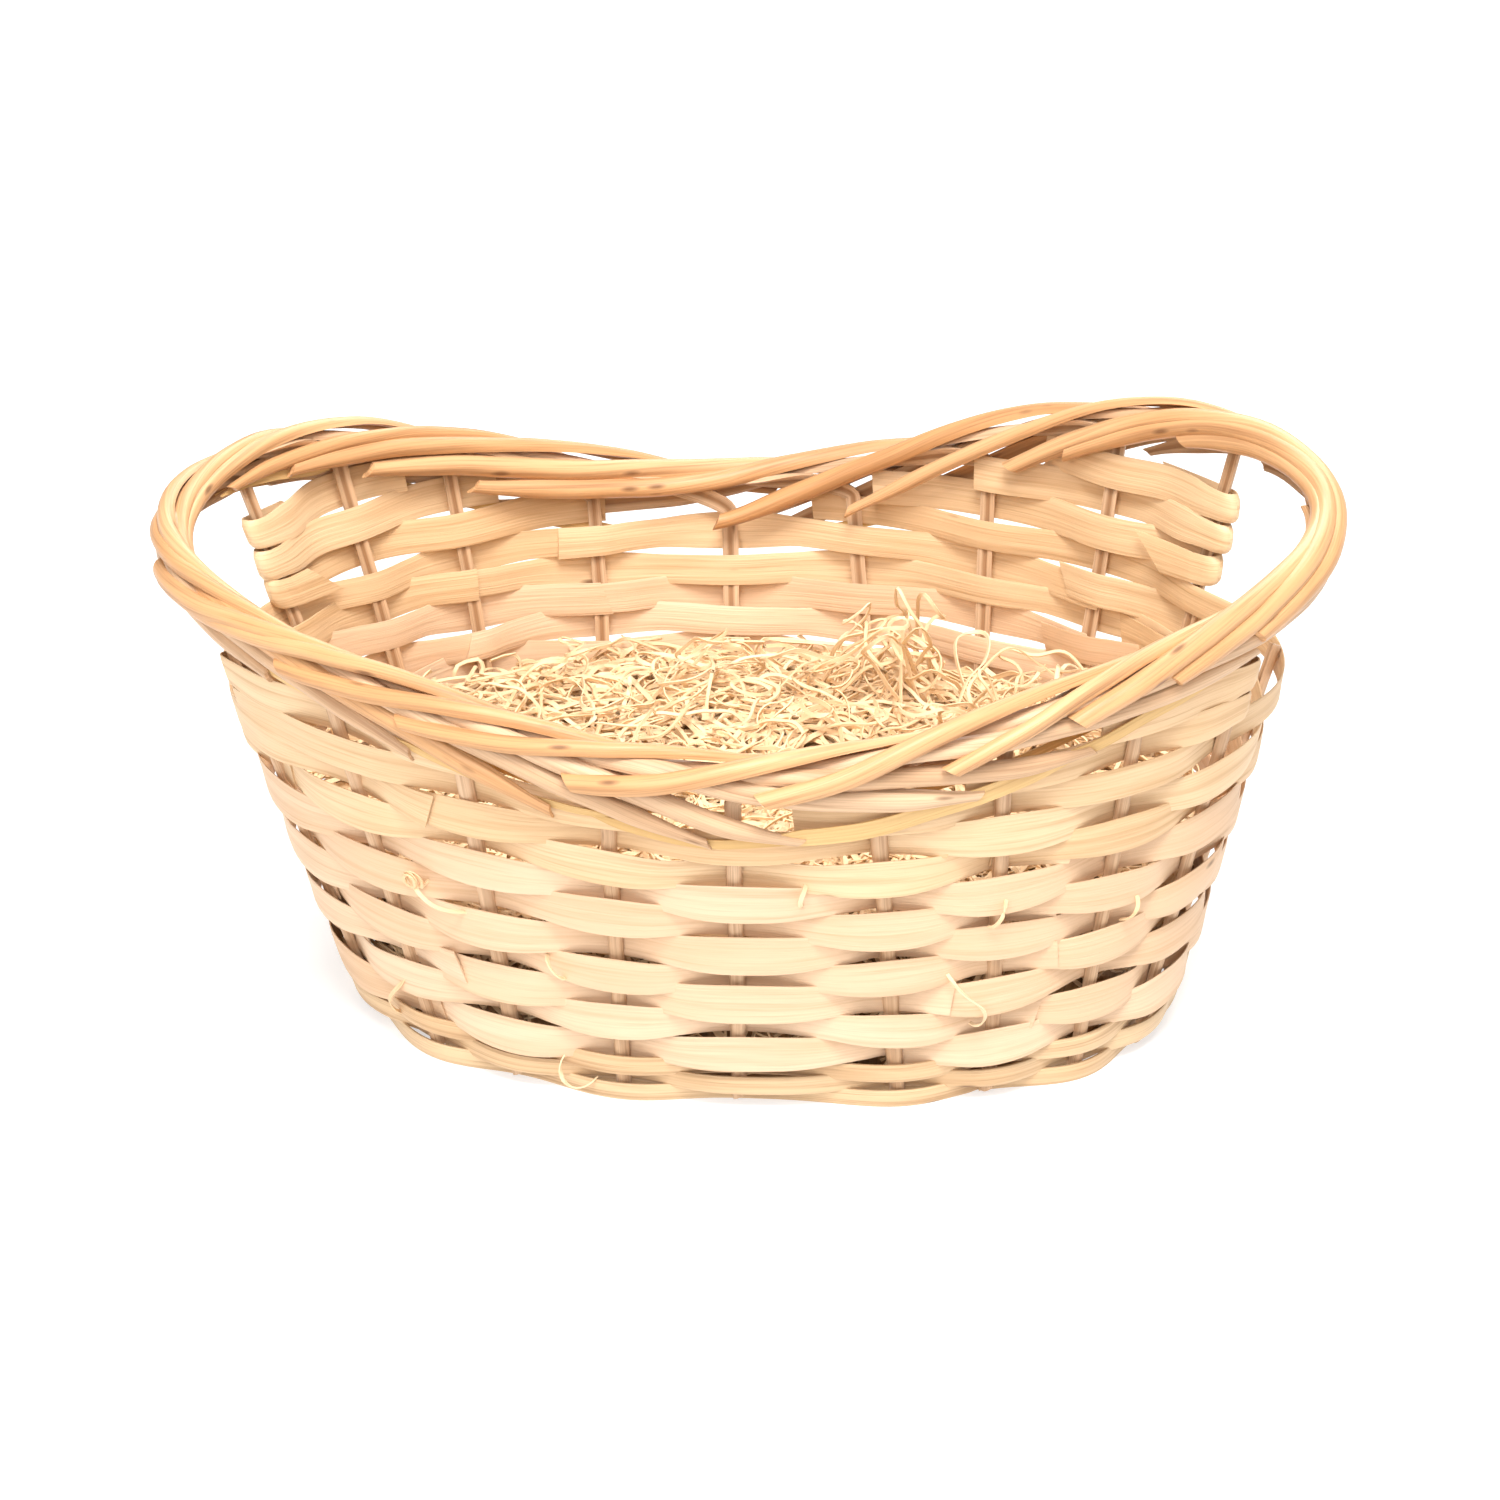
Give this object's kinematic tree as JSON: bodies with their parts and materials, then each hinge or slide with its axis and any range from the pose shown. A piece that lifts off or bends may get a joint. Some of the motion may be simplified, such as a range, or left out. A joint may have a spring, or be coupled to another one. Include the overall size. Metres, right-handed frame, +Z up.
{
  "type": "easter basket",
  "caption": "Oval boat-shaped gift basket of woven willow splints with raised ends, a hand opening under the border at each end, and a loose bed of wood wool.",
  "frame": {"origin": "on the floor under the centre of the basket's bounding box", "axes": "+Z up, +X toward the higher end, -Y the front long side"},
  "size_m": [0.4027, 0.2827, 0.1871],
  "materials": {
    "splint": "satin",
    "stake": "satin",
    "border_rod": "satin",
    "foot_rod": "satin",
    "base_frame": "matte",
    "wood_wool": "matte"
  },
  "bodies": {
    "basket": {"base_hoop": "base_frame", "base_ribs": "base_frame", "base_splints": "splint", "border_wraps_back_left": "border_rod", "border_wraps_back_right": "border_rod", "border_wraps_front_left": "border_rod", "border_wraps_front_right": "border_rod", "foot_wale_1": "foot_rod", "foot_wale_2": "foot_rod", "foot_wale_3": "foot_rod", "handle_strand_left": "border_rod", "handle_strand_right": "border_rod", "right_sill_splint": "splint", "shoulder_splints_back_left": "splint", "shoulder_splints_back_right": "splint", "shoulder_splints_front_left": "splint", "shoulder_splints_front_right": "splint", "stake_01": "stake", "stake_02": "stake", "stake_03": "stake", "stake_04": "stake", "stake_05": "stake", "stake_06": "stake", "stake_07": "stake", "stake_08": "stake", "stake_09": "stake", "stake_10": "stake", "stake_11": "stake", "stake_12": "stake", "stake_13": "stake", "stake_14": "stake", "stake_15": "stake", "stake_16": "stake", "stake_17": "stake", "stake_18": "stake", "stake_19": "stake", "stake_20": "stake", "weft_row_1": "splint", "weft_row_2": "splint", "weft_row_3": "splint", "weft_row_4": "splint", "weft_row_5": "splint", "weft_row_6": "splint", "weft_row_7": "splint", "weft_row_8": "splint", "weft_row_9": "splint"},
    "nest": {"wood_wool": "wood_wool"}
  },
  "joints": [
    {"name": "nest_lift", "type": "slide", "parent": "basket", "child": "nest", "axis": [0, 0, 1], "range_m": [0, 0.2]}
  ]
}
